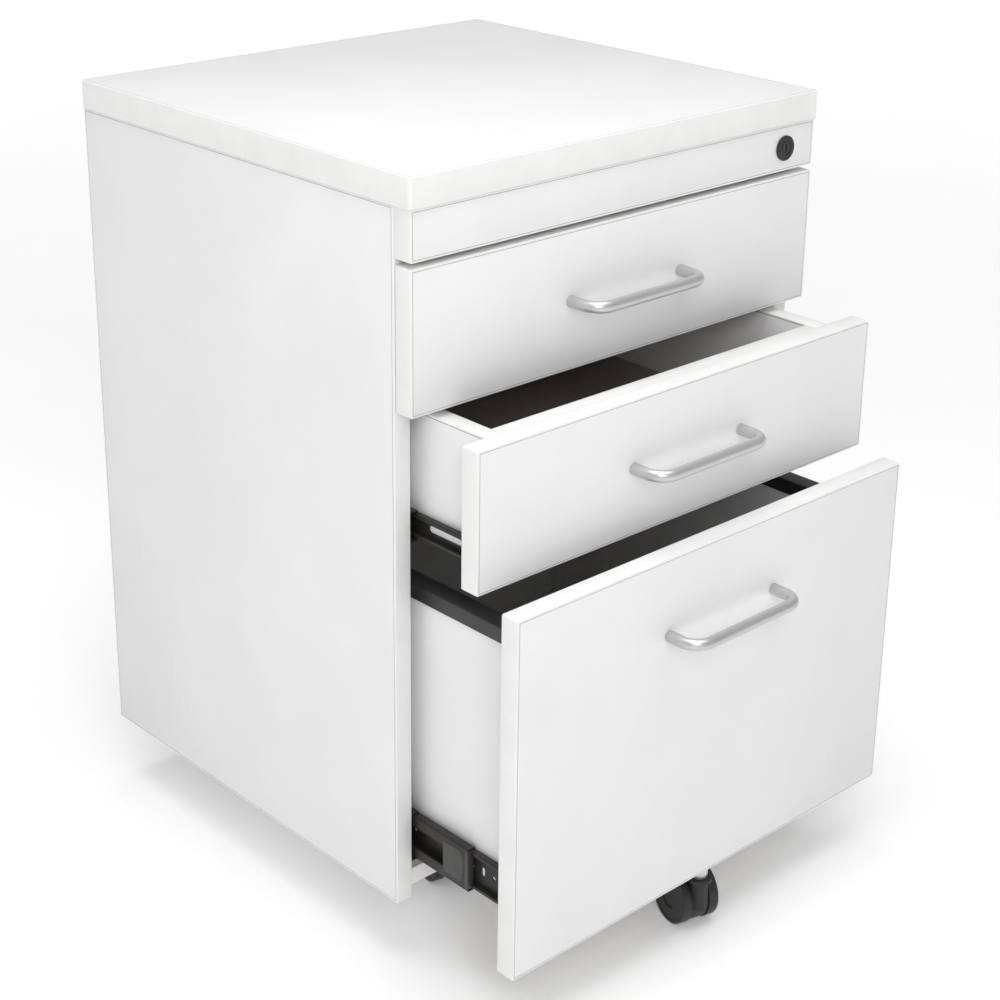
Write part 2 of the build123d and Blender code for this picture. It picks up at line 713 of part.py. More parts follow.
cage_layout = (
    (
        "outer",
        file_middle_height / 2,
        file_member_height / 2 - file_sheet,
        (middle_start + member_flange) / 2,
        middle_share / 2,
    ),
    (
        "inner",
        file_inner_height / 2,
        file_middle_height / 2 - file_sheet,
        (runner_gap - inner_member_flange + middle_end) / 2,
        (middle_share + 1) / 2,
    ),
)
for cage_name, inner_flange, outer_flange, t_middle, share in cage_layout:
    with BuildPart() as file_cages:
        middle = (runner_front + runner_back) / 2 - share * file_opening
        ball_strips(file_z, inner_flange, outer_flange, t_middle, middle, file_cage_length)
        mirror(about=Plane.YZ)
    file_cages.part.label = f"file_drawer_{cage_name}_cages"
    export_step(file_cages.part, f"parts/file_drawer_{cage_name}_cages.step")

# ---------------------------------------------------------------- rails for hanging folders
with BuildPart() as hanging_rails:
    rail_front = front_back - file_opening
    y_span = (rail_front + rail_front_gap, rail_front + box_depth)
    side_top = box_spans["file_drawer"][1]
    outer = (box_inner_half - rail_fit - rail_sheet, box_half + rail_fit + rail_sheet)
    slab(outer, y_span, (side_top, side_top + rail_sheet))
    skirt_bottom = side_top - rail_skirt
    back_start = rail_front + board + rail_fit
    back_end = rail_front + box_depth - board - rail_fit
    slab((outer[0], outer[0] + rail_sheet), (back_start, back_end), (skirt_bottom, side_top))
    slab((outer[1] - rail_sheet, outer[1]), y_span, (skirt_bottom, side_top))
    fillet(hanging_rails.edges().filter_by(Axis.Y).group_by(Axis.Z)[-1], radius=rail_sheet / 2)
    mirror(about=Plane.YZ)
hanging_rails.part.label = "hanging_rails"
export_step(hanging_rails.part, "parts/hanging_rails.step")


# ---------------------------------------------------------------- castors
def kingpin(top):
    """The fixed pin that a castor swivels on, with its collar, at the swivel axis."""
    collar_bottom = castor_boss_top + collar_lift
    rod((0, 0, kingpin_bottom), (0, 0, 1), kingpin_radius, collar_bottom - kingpin_bottom)
    rod((0, 0, collar_bottom), (0, 0, 1), collar_radius, top - collar_bottom)


with BuildPart() as castor_body_shape:
    half_width = castor_body_width / 2
    rod((-half_width, castor_trail, castor_wheel_radius), (1, 0, 0), castor_body_radius, castor_body_width)
    slab(
        (-half_width, half_width),
        (0, castor_trail),
        (castor_wheel_radius, castor_boss_top - castor_boss_rim),
    )
    boss_bottom = kingpin_bottom - castor_boss_floor
    rod((0, 0, boss_bottom), (0, 0, 1), half_width, castor_boss_top - boss_bottom)
    rod((0, 0, castor_boss_top), (0, 0, -1), castor_boss_radius, castor_boss_rim)
    fillet(castor_body_shape.faces().sort_by(Axis.Z)[-1].edges(), radius=edge_radius)
    bore_bottom = kingpin_bottom - kingpin_end_gap
    bore_depth = castor_boss_top - bore_bottom
    rod((0, 0, bore_bottom), (0, 0, 1), kingpin_radius + castor_fit, bore_depth, Mode.SUBTRACT)
    axle_start = (-castor_boss_radius * 2, castor_trail, castor_wheel_radius)
    rod(axle_start, (1, 0, 0), axle_radius + castor_fit, castor_boss_radius * 4, Mode.SUBTRACT)

with BuildPart() as castor_wheels_shape:
    wheel_inner = castor_body_width / 2 + castor_side_gap
    wheel_outer = wheel_inner + castor_wheel_width
    hub_face = wheel_outer - castor_hub_recess
    crown_drop = castor_wheel_crown * (1 - cos(radians(45)))
    hub = (0, castor_trail, castor_wheel_radius)
    with BuildSketch(Plane(origin=hub, x_dir=(1, 0, 0), z_dir=(0, -1, 0))):
        with BuildLine():
            Polyline(
                (wheel_outer - castor_wheel_crown, castor_wheel_radius),
                (wheel_inner + castor_wheel_chamfer, castor_wheel_radius),
                (wheel_inner, castor_wheel_radius - castor_wheel_chamfer),
                (wheel_inner, axle_radius + castor_fit),
                (hub_face, axle_radius + castor_fit),
                (hub_face, castor_hub_radius),
                (wheel_outer, castor_disc_radius),
                (wheel_outer, castor_wheel_radius - castor_wheel_crown),
            )
            ThreePointArc(
                (wheel_outer, castor_wheel_radius - castor_wheel_crown),
                (wheel_outer - crown_drop, castor_wheel_radius - crown_drop),
                (wheel_outer - castor_wheel_crown, castor_wheel_radius),
            )
        make_face()
    revolve(axis=Axis(hub, (1, 0, 0)))
    mirror(about=Plane.YZ)
    rod((-hub_face, castor_trail, castor_wheel_radius), (1, 0, 0), axle_radius, 2 * hub_face)

for name, (x, y) in castor_places.items():
    seat = Location((x, y, 0), (0, 0, castor_angles[name]))
    with BuildPart() as castor_body:
        with Locations(seat):
            add(castor_body_shape.part)
    castor_body.part.label = f"{name}_castor_body"
    export_step(castor_body.part, f"parts/{name}_castor_body.step")
    with BuildPart() as castor_wheels:
        with Locations(seat):
            add(castor_wheels_shape.part)
    castor_wheels.part.label = f"{name}_castor_wheels"
    export_step(castor_wheels.part, f"parts/{name}_castor_wheels.step")

with BuildPart() as plate_shape:
    kingpin(underside_height - castor_plate_thickness)
    plate_bottom = underside_height - castor_plate_thickness
    half_plate = castor_plate_size / 2
    plate_span = (-half_plate, half_plate)
    slab(plate_span, plate_span, (plate_bottom, underside_height))
    corners = plate_shape.edges().filter_by(Axis.Z).group_by(SortBy.LENGTH)[0]
    fillet(corners, radius=castor_plate_corner)
    with BuildSketch(Plane.XY.offset(plate_bottom)):
        with GridLocations(castor_screw_pitch, castor_screw_pitch, 2, 2):
            Circle(runner_screw_radius + cam_clearance)
    extrude(amount=castor_plate_thickness, mode=Mode.SUBTRACT)

with BuildPart() as castor_plates:
    with Locations(*[castor_places[name] for name in base_castors]):
        add(plate_shape.part)
castor_plates.part.label = "castor_plates"
export_step(castor_plates.part, "parts/castor_plates.step")

with BuildPart() as castor_screws:
    for name in base_castors:
        x, y = castor_places[name]
        with BuildSketch(Plane.XY.offset(plate_bottom)):
            with Locations((x, y)):
                with GridLocations(castor_screw_pitch, castor_screw_pitch, 2, 2):
                    Circle(runner_screw_radius)
        extrude(amount=castor_plate_thickness + castor_screw_depth)
        with BuildSketch(Plane.XY.offset(plate_bottom)):
            with Locations((x, y)):
                with GridLocations(castor_screw_pitch, castor_screw_pitch, 2, 2):
                    Circle(runner_screw_head_radius)
        extrude(amount=-castor_screw_head)
castor_screws.part.label = "castor_screws"
export_step(castor_screws.part, "parts/castor_screws.step")

with BuildPart() as stem_shape:
    kingpin(file_bottom)
    rod((0, 0, file_bottom), (0, 0, 1), stem_radius, stem_length)

with BuildPart() as file_castor_stem:
    with Locations(castor_places["file"]):
        add(stem_shape.part)
file_castor_stem.part.label = "file_castor_stem"
export_step(file_castor_stem.part, "parts/file_castor_stem.step")
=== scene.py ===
import json
import math

import bmesh
import bpy
from mathutils import Matrix, Vector

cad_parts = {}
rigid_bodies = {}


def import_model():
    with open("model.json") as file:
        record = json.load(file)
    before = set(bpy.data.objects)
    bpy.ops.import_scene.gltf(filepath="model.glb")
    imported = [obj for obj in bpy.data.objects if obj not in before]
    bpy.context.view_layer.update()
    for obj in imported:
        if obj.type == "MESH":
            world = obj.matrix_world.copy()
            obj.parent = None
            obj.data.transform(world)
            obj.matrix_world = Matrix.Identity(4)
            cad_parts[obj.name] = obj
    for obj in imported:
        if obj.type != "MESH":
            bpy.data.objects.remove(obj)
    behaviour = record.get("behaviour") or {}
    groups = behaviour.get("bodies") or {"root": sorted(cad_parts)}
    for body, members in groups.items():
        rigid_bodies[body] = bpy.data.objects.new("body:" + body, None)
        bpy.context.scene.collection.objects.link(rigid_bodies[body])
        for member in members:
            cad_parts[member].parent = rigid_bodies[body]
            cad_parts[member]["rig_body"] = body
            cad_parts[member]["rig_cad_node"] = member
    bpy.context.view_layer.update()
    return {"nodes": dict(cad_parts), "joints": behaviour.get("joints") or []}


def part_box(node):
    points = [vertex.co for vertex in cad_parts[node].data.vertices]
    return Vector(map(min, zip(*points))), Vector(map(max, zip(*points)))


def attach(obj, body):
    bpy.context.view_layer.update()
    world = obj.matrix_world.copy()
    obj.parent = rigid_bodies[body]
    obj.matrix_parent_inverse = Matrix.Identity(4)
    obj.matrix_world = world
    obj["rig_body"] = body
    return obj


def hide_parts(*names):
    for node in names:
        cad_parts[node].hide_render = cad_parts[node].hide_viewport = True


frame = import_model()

# Rolling pedestal cabinet: white melamine boards, bar handles, black runners and castors.
# Metres, +Z up, the fronts face -Y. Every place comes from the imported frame.
MM = 0.001
X, Y, Z = range(3)
UP, DOWN = Vector((0, 0, 1)), Vector((0, 0, -1))
joints = {joint["name"]: joint for joint in frame["joints"]}
DRAWERS = ("drawer_1", "drawer_2", "file_drawer")
CORNER_CASTORS = ("front_left", "front_right", "back_left", "back_right")

# ---------------------------------------------------------------- sizes that the frame doesn't give
same_place = 1e-6               # two points this near count as one, in metres
# boards
edge_round = 1.0 * MM
front_corner = 2.0 * MM         # corners of the fronts, and the lower ones of the lock rail
lid_corner = 4.0 * MM
band_margin = 0.9 * MM          # edge band seen from the face, inside the rounding
seam_width = 0.25 * MM          # half of the dark seam between band and face: a glue line, darkened further as painted shade in the crease
seam_sink = 0.12 * MM
# groove of the lock bar
bar_width = 12.0 * MM
groove_room = 0.6 * MM
groove_depth = 5.0 * MM
groove_spare = 6.0 * MM         # groove below the lowest place of the bar
# handles
handle_bend = 16.0 * MM
handle_bend_steps = 14
# screws: shank radius, head radius and head height
machine_screw = (2.0 * MM, 4.0 * MM, 2.5 * MM)
runner_screw = (1.9 * MM, 3.6 * MM, 1.2 * MM)
castor_screw = (1.9 * MM, 3.6 * MM, 2.0 * MM)
runner_screw_depth = 12.0 * MM
runner_screw_front_insets = (37.0 * MM, 133.0 * MM)
runner_screw_rear_inset = 32.0 * MM
castor_plate_thickness = 2.5 * MM
castor_plate_half_pitch = 19.0 * MM
# heads of the cam fittings
cam_radius = 7.5 * MM
cam_thickness = 3.0 * MM
cam_proud = 0.25 * MM
cam_inset = 24.0 * MM           # from the edge of the board that the bolt comes out of
cam_end_inset = 80.5 * MM       # from the front and back ends of the side panels
cam_height_inset = 90.0 * MM    # from the feet and tops of the side panels
# runners
small_sheet = 1.1 * MM          # of drawers 1 and 2
file_sheet = 1.2 * MM
sheet_side = -1                 # the sheet's thickness goes to the inner side of its outline
cabinet_flange = 9.0 * MM
middle_flange = 8.3 * MM
runner_lip = 3.2 * MM
lip_lean = 0.4 * MM
runner_bend = 1.6 * MM
slot_length = 38.0 * MM
slot_height = 6.0 * MM
slot_pitch = 64.0 * MM
slot_inset = 46.0 * MM
file_slot_height = 9.0 * MM
file_slot_width = 4.0 * MM
file_slot_pitch = 96.0 * MM
file_slot_inset = 43.5 * MM
file_hole_radius = 2.0 * MM
file_hole_offset = 12.5 * MM
cutter_reach = 6.0 * MM         # long enough to pass through a web
window_end = 30.0 * MM
window_corner = 2.0 * MM
# end caps of the file drawer's middle members
cap_proud = 0.4 * MM
cap_root = 0.8 * MM
cap_front = 6.0 * MM
cap_margin = 5.5 * MM
cap_round = 7.0 * MM
cap_rib_depth = 6.4 * MM
cap_rib_thickness = 3.2 * MM
cap_rib_margin = 2.6 * MM
# folder rails
rail_sheet = 1.0 * MM
rail_bend = 1.2 * MM
rail_gap = 0.05 * MM            # between the skirts and the boards
notch_room = 0.3 * MM
# lock
rosette_round = 0.9 * MM
rosette_rim = 1.3 * MM
rosette_step = 0.4 * MM
rosette_dish = 0.45 * MM
collar_width = 0.5 * MM
collar_rise = 0.3 * MM
barrel_radius = 9.0 * MM
plug_bore = 6.15 * MM
bore_reach = 100.0 * MM         # long enough to pass through the whole lock
# castors
wheel_radius = 25.0 * MM
wheel_width = 10.0 * MM
wheel_inner = 8.8 * MM          # inner face of a wheel from the middle of the castor
tread_round = 1.8 * MM
axle_radius = 2.9 * MM
axle_length = 33.0 * MM
# finishes
noise_low, noise_high = 0.3, 0.7    # most of a noise lies between these
dust_colour = (0.42, 0.40, 0.37, 1)
white = (1, 1, 1, 1)
# room, light and camera
floor_size = 40
floor_glow = 0.16
far_floor_glow = 0.62
glow_start = 0.4                # distances from the floor's middle between which its glow grows
glow_end = 4.5
room_light = 0.36
overhead_power = 74.0
front_power = 24.0
side_power = 5.0
camera_place = (-1.1482, -1.2990, 1.0599)
camera_tilt = 69.6651           # degrees, like the next two
camera_roll = -0.6846
camera_heading = -42.8457
focal_length = 72.85
sensor_width = 36.0
shift_x, shift_y = -0.0022, -0.12


# ---------------------------------------------------------------- modelling helpers
def start_piece(piece, name):
    """Names the primitive just added and puts its place into its mesh."""
    piece.name = name
    piece.data.name = name
    bpy.ops.object.transform_apply(location=True, rotation=True, scale=True)
    return piece


def only(piece):
    """Makes a piece the only selected one, and the active one."""
    bpy.ops.object.select_all(action="DESELECT")
    piece.select_set(True)
    bpy.context.view_layer.objects.active = piece


def edit(piece):
    only(piece)
    bpy.ops.object.mode_set(mode="EDIT")


def leave_edit():
    bpy.ops.object.mode_set(mode="OBJECT")


def pick(piece, kind, test):
    """In edit mode, selects the faces, edges or points that pass a test of their place."""
    bpy.ops.mesh.select_mode(type=kind)
    bpy.ops.mesh.select_all(action="DESELECT")
    shape = bmesh.from_edit_mesh(piece.data)
    items = {"FACE": shape.faces, "EDGE": shape.edges, "VERT": shape.verts}[kind]
    for item in items:
        if test(item):
            item.select_set(True)
    bmesh.update_edit_mesh(piece.data)


def facing(direction, place=None):
    """A test for faces that look along a direction, at a distance along it if one is given."""
    direction = Vector(direction)

    def test(face):
        if face.normal.dot(direction) < 0.999:
            return False
        if place is None:
            return True
        return abs(face.calc_center_median().dot(direction) - place) < 10 * same_place

    return test


def paint(piece, finish_index):
    """In edit mode, gives the selected faces one of the piece's finishes."""
    piece.active_material_index = finish_index
    bpy.ops.object.material_slot_assign()


def give(piece, *finishes):
    piece.data.materials.clear()
    for finish in finishes:
        piece.data.materials.append(finish)
    return piece


def smooth(piece, degrees=35):
    only(piece)
    bpy.ops.object.shade_smooth_by_angle(angle=math.radians(degrees))
    return piece


def apply_modifier(piece, kind, **settings):
    only(piece)
    modifier = piece.modifiers.new(kind.lower(), kind)
    for setting, value in settings.items():
        setattr(modifier, setting, value)
    bpy.ops.object.modifier_apply(modifier=modifier.name)


def outward(piece):
    """Merges doubled points and turns every face outwards."""
    edit(piece)
    bpy.ops.mesh.select_all(action="SELECT")
    bpy.ops.mesh.remove_doubles(threshold=same_place)
    bpy.ops.mesh.normals_make_consistent(inside=False)
    leave_edit()


def combine(piece, other, operation):
    """Adds another closed shape to a piece or takes it away. The other one is used up."""
    apply_modifier(piece, "BOOLEAN", operation=operation, solver="EXACT", object=other)
    bpy.data.objects.remove(other)


def cut(piece, cutter):
    """Takes one closed shape out of another."""
    combine(piece, cutter, "DIFFERENCE")


def joined(name, pieces):
    """Several finished pieces as one, under one name."""
    bpy.ops.object.select_all(action="DESELECT")
    for piece in pieces:
        piece.select_set(True)
    bpy.context.view_layer.objects.active = pieces[0]
    if len(pieces) > 1:
        bpy.ops.object.join()
    pieces[0].name = name
    pieces[0].data.name = name
    return pieces[0]


def copy_at(pattern, matrix):
    """A copy of a pattern piece with its own mesh, moved by a matrix."""
    copy = pattern.copy()
    copy.data = pattern.data.copy()
    bpy.context.scene.collection.objects.link(copy)
    copy.data.transform(matrix)
    if matrix.determinant() < 0:
        copy.data.flip_normals()
    return copy


def copies(name, pattern, matrices):
    """One piece made of a copy of the pattern at each place. The pattern is used up."""
    made = [copy_at(pattern, matrix) for matrix in matrices]
    bpy.data.objects.remove(pattern)
    return joined(name, made)


def mirrored(piece):
    """The piece and its mirror image across the middle of the cabinet, as one."""
    twin = copy_at(piece, Matrix.Diagonal((-1, 1, 1, 1)))
    return joined(piece.name, [piece, twin])


def fit(piece, body, slot, *nodes):
    """The piece moves with a body and stands for the CAD nodes."""
    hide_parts(*nodes)
    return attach(piece, body)


def block(name, low, high):
    low, high = Vector(low), Vector(high)
    bpy.ops.object.select_all(action="DESELECT")
    bpy.ops.mesh.primitive_cube_add(size=1, location=(low + high) / 2)
    bpy.context.object.scale = high - low
    return start_piece(bpy.context.object, name)


def round_bar(name, middle, axis, radius, length, sides=32):
    """A round blank along an axis."""
    turn = Vector(axis).to_track_quat("Z", "Y").to_euler()
    bpy.ops.object.select_all(action="DESELECT")
    bpy.ops.mesh.primitive_cylinder_add(
        vertices=sides, radius=radius, depth=length, location=middle, rotation=turn
    )
    return start_piece(bpy.context.object, name)


# ---------------------------------------------------------------- shared shader groups
def new_group(name, inputs, outputs):
    group = bpy.data.node_groups.new(name, "ShaderNodeTree")
    for label, kind, value in inputs:
        socket = group.interface.new_socket(name=label, in_out="INPUT", socket_type=kind)
        if value is not None:
            socket.default_value = value
    for label, kind in outputs:
        group.interface.new_socket(name=label, in_out="OUTPUT", socket_type=kind)
    return group, group.nodes.new("NodeGroupInput"), group.nodes.new("NodeGroupOutput")


def grain_group():
    """Two noises, a fine and a broad one, each 0 to 1, on stretched coordinates."""
    group, given, made = new_group(
        "surface_grain",
        [
            ("Place", "NodeSocketVector", None),
            ("Stretch", "NodeSocketVector", (1, 1, 1)),
            ("Fine Scale", "NodeSocketFloat", 1500.0),
            ("Broad Scale", "NodeSocketFloat", 12.0),
        ],
        [("Fine", "NodeSocketFloat"), ("Broad", "NodeSocketFloat")],
    )
    stretch = group.nodes.new("ShaderNodeVectorMath")
    stretch.operation = "MULTIPLY"
    group.links.new(given.outputs["Place"], stretch.inputs[0])
    group.links.new(given.outputs["Stretch"], stretch.inputs[1])
    for label, detail in (("Fine", 3.0), ("Broad", 4.0)):
        noise = group.nodes.new("ShaderNodeTexNoise")
        noise.inputs["Detail"].default_value = detail
        noise.inputs["Roughness"].default_value = 0.55
        group.links.new(stretch.outputs["Vector"], noise.inputs["Vector"])
        group.links.new(given.outputs[label + " Scale"], noise.inputs["Scale"])
        group.links.new(noise.outputs["Fac"], made.inputs[label])
    return group


def tone_group():
    """A colour between two, led by a mask whose contrast is raised about its middle."""
    group, given, made = new_group(
        "tone_drift",
        [
            ("Mask", "NodeSocketFloat", 0.5),
            ("Dark", "NodeSocketColor", (0, 0, 0, 1)),
            ("Light", "NodeSocketColor", (1, 1, 1, 1)),
        ],
        [("Color", "NodeSocketColor")],
    )
    spread = group.nodes.new("ShaderNodeMapRange")
    spread.inputs["From Min"].default_value = noise_low
    spread.inputs["From Max"].default_value = noise_high
    mix = group.nodes.new("ShaderNodeMix")
    mix.data_type = "RGBA"
    group.links.new(given.outputs["Mask"], spread.inputs["Value"])
    group.links.new(spread.outputs["Result"], mix.inputs["Factor"])
    group.links.new(given.outputs["Dark"], mix.inputs["A"])
    group.links.new(given.outputs["Light"], mix.inputs["B"])
    group.links.new(mix.outputs["Result"], made.inputs["Color"])
    return group


def relief_group():
    """A surface normal from two heights, a fine grain and a long slow waviness."""
    group, given, made = new_group(
        "fine_relief",
        [
            ("Fine", "NodeSocketFloat", 0.5),
            ("Broad", "NodeSocketFloat", 0.5),
            ("Fine Strength", "NodeSocketFloat", 0.1),
            ("Broad Strength", "NodeSocketFloat", 0.05),
        ],
        [("Normal", "NodeSocketVector")],
    )
    last = None
    for label, depth in (("Broad", 0.0006), ("Fine", 0.00006)):
        bump = group.nodes.new("ShaderNodeBump")
        bump.inputs["Distance"].default_value = depth
        group.links.new(given.outputs[label + " Strength"], bump.inputs["Strength"])
        group.links.new(given.outputs[label], bump.inputs["Height"])
        if last is not None:
            group.links.new(last.outputs["Normal"], bump.inputs["Normal"])
        last = bump
    group.links.new(last.outputs["Normal"], made.inputs["Normal"])
    return group


def dust_group():
    """A mask of light dust that lies on faces looking up, broken by a noise."""
    group, given, made = new_group(
        "settled_dust",
        [("Broad", "NodeSocketFloat", 0.5), ("Amount", "NodeSocketFloat", 0.2)],
        [("Mask", "NodeSocketFloat")],
    )
    shape = group.nodes.new("ShaderNodeNewGeometry")
    split = group.nodes.new("ShaderNodeSeparateXYZ")
    group.links.new(shape.outputs["Normal"], split.inputs["Vector"])
    upward = group.nodes.new("ShaderNodeMapRange")
    upward.inputs["From Min"].default_value = 0.55
    group.links.new(split.outputs["Z"], upward.inputs["Value"])
    broken = group.nodes.new("ShaderNodeMath")
    broken.operation = "MULTIPLY"
    group.links.new(upward.outputs["Result"], broken.inputs[0])
    group.links.new(given.outputs["Broad"], broken.inputs[1])
    amount = group.nodes.new("ShaderNodeMath")
    amount.operation = "MULTIPLY"
    group.links.new(broken.outputs["Value"], amount.inputs[0])
    group.links.new(given.outputs["Amount"], amount.inputs[1])
    group.links.new(amount.outputs["Value"], made.inputs["Mask"])
    return group


GRAIN, TONE, RELIEF, DUST = grain_group(), tone_group(), relief_group(), dust_group()


# ---------------------------------------------------------------- finishes
def place_group(tree, group, **values):
    node = tree.nodes.new("ShaderNodeGroup")
    node.node_tree = group
    for label, value in values.items():
        node.inputs[label.replace("_", " ")].default_value = value
    return node


def finish(
    name, dark, light, gloss, fine, broad, relief, metal=0.0, stretch=(1, 1, 1), dust=0.0, shine=0.5
):
    """A finish that drifts between two colours and two roughnesses over a bumped grain.

    fine and broad are noise scales, relief is the strength of each, dust is how much pale
    dust lies on its upper faces, and shine is how strongly it mirrors.
    """
    material = bpy.data.materials.new(name)
    material.use_nodes = True
    tree = material.node_tree
    shader = tree.nodes["Principled BSDF"]
    shader.inputs["Metallic"].default_value = metal
    shader.inputs["Specular IOR Level"].default_value = shine
    place = tree.nodes.new("ShaderNodeTexCoord")
    grain = place_group(tree, GRAIN, Stretch=stretch, Fine_Scale=fine, Broad_Scale=broad)
    tree.links.new(place.outputs["Object"], grain.inputs["Place"])
    tone = place_group(tree, TONE, Dark=(*dark, 1), Light=(*light, 1))
    tree.links.new(grain.outputs["Broad"], tone.inputs["Mask"])
    colour = tone.outputs["Color"]
    if dust:
        settled = place_group(tree, DUST, Amount=dust)
        tree.links.new(grain.outputs["Broad"], settled.inputs["Broad"])
        cover = tree.nodes.new("ShaderNodeMix")
        cover.data_type = "RGBA"
        cover.inputs["B"].default_value = dust_colour
        tree.links.new(settled.outputs["Mask"], cover.inputs["Factor"])
        tree.links.new(colour, cover.inputs["A"])
        colour = cover.outputs["Result"]
    tree.links.new(colour, shader.inputs["Base Color"])
    rough = tree.nodes.new("ShaderNodeMapRange")
    rough.inputs["From Min"].default_value = noise_low
    rough.inputs["From Max"].default_value = noise_high
    rough.inputs["To Min"].default_value = gloss[0]
    rough.inputs["To Max"].default_value = gloss[1]
    tree.links.new(grain.outputs["Fine"], rough.inputs["Value"])
    tree.links.new(rough.outputs["Result"], shader.inputs["Roughness"])
    bumps = place_group(tree, RELIEF, Fine_Strength=relief[0], Broad_Strength=relief[1])
    tree.links.new(grain.outputs["Fine"], bumps.inputs["Fine"])
    tree.links.new(grain.outputs["Broad"], bumps.inputs["Broad"])
    tree.links.new(bumps.outputs["Normal"], shader.inputs["Normal"])
    return material


def grey(value, warmth=0.0):
    return (value * (1 + warmth), value, value * (1 - warmth))


MELAMINE = finish(
    "white_melamine", grey(0.785), grey(0.825), (0.34, 0.46), 2300, 9, (0.20, 0.03)
)
EDGE_BAND = finish(
    "edge_band", grey(0.79, 0.008), grey(0.84, 0.006), (0.30, 0.40), 1800, 30, (0.08, 0.03)
)
# The seam finishes are dark partly for the glue and partly as painted shade in the groove between band
# and face.
GLUE_AND_SHADE_LINE = finish(
    "glue_and_painted_shade_line", grey(0.26, 0.10), grey(0.42, 0.08), (0.55, 0.75), 900, 40, (0.30, 0.10)
)
# The box sides' seam is darker still: a glue line with painted shade along the edges of their faces.
BOX_GLUE_AND_SHADE_LINE = finish(
    "box_glue_and_painted_shade_line", grey(0.10, 0.25), grey(0.20, 0.20), (0.55, 0.75), 700, 40, (0.40, 0.10)
)
HARDBOARD = finish(
    "brown_hardboard", (0.34, 0.295, 0.265), (0.42, 0.37, 0.34), (0.40, 0.55), 1100, 18, (0.25, 0.04)
)
E_COAT = finish(
    "black_coated_steel", grey(0.020, 0.08), grey(0.030, 0.06), (0.36, 0.50), 1300, 60, (0.16, 0.05),
    dust=0.03, shine=0.28,
)
RAIL_PAINT = finish(
    "folder_rail_paint", grey(0.026, 0.02), grey(0.036, 0.0), (0.34, 0.46), 1500, 40, (0.20, 0.04),
    dust=0.05, shine=0.45,
)
BLACK_PLASTIC = finish(
    "grained_black_plastic", grey(0.018, 0.02), grey(0.026, 0.02), (0.44, 0.58), 1700, 45, (0.45, 0.05),
    dust=0.02, shine=0.35,
)
CAP_PLASTIC = finish(
    "moulded_cap_plastic", grey(0.036, 0.04), grey(0.050, 0.03), (0.40, 0.52), 1500, 60, (0.30, 0.05)
)
WHEEL_PLASTIC = finish(
    "wheel_plastic", grey(0.016, 0.02), grey(0.026, 0.02), (0.38, 0.52), 900, 70, (0.22, 0.08),
    dust=0.02, shine=0.35,
)
LOCK_BLACK = finish(
    "black_lock_metal", grey(0.020, 0.06), grey(0.032, 0.05), (0.34, 0.46), 1400, 90, (0.14, 0.03), 0.3,
    shine=0.4,
)
SATIN_HANDLE = finish(
    "satin_silver", grey(0.52, -0.004), grey(0.58, -0.004), (0.30, 0.40), 900, 40, (0.10, 0.01), 0.65,
    (0.06, 1, 1),
)
ZINC = finish(
    "zinc_plate", grey(0.50, -0.02), grey(0.68, 0.01), (0.24, 0.42), 700, 160, (0.14, 0.05), 0.9
)
BALL_STEEL = finish(
    "bright_ball_steel", grey(0.46), grey(0.62), (0.12, 0.28), 1200, 120, (0.06, 0.02), 1.0
)
MILL_ALUMINIUM = finish(
    "mill_aluminium", grey(0.58), grey(0.70), (0.30, 0.46), 500, 30, (0.25, 0.02), 0.95, (1, 1, 0.05)
)


# ---------------------------------------------------------------- boards
def board(name, low, high, broad, corner=0.0, corners=lambda edge: True, glue_and_shade=GLUE_AND_SHADE_LINE):
    """A melamine board: edge bands, a fine dark seam of glue and painted shade round both faces, and
    rounded edges.

    broad is the axis across its thickness. corner rounds the outline at the chosen corners.
    """
    low, high = Vector(low), Vector(high)
    piece = block(name, low, high)
    give(piece, EDGE_BAND, glue_and_shade, MELAMINE)
    glue_and_shade_slot, face_slot = 1, 2
    axis = Vector([float(i == broad) for i in range(3)])
    edit(piece)
    bpy.ops.mesh.select_all(action="SELECT")
    bpy.ops.mesh.normals_make_consistent(inside=False)
    for side in (-1, 1):
        pick(piece, "FACE", facing(axis * side, (high if side > 0 else low)[broad] * side))
        bpy.ops.mesh.inset(thickness=edge_round + band_margin)
        # the seam ring is painted dark: part glue line, part painted shade in the crease
        paint(piece, glue_and_shade_slot)
        bpy.ops.mesh.inset(thickness=seam_width, depth=-seam_sink)
        bpy.ops.mesh.inset(thickness=seam_width, depth=seam_sink)
        paint(piece, face_slot)

    def across(edge):
        run = (edge.verts[1].co - edge.verts[0].co).normalized()
        return abs(run.dot(axis)) > 0.99

    def outline(edge):
        return any(abs(face.normal.dot(axis)) < 0.01 for face in edge.link_faces)

    if corner:
        pick(piece, "EDGE", lambda edge: across(edge) and corners(edge))
        bpy.ops.mesh.bevel(offset=corner, segments=5, affect="EDGES")
        pick(piece, "EDGE", lambda edge: outline(edge) and not across(edge))
    else:
        pick(piece, "EDGE", outline)
    bpy.ops.mesh.bevel(offset=edge_round, segments=3, affect="EDGES")
    leave_edit()
    return smooth(piece)


def node_board(node, broad, body, **shape):
    """A board in the place of a CAD board."""
    low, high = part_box(node)
    return fit(board(node + "_board", low, high, broad, **shape), body, "board", node)


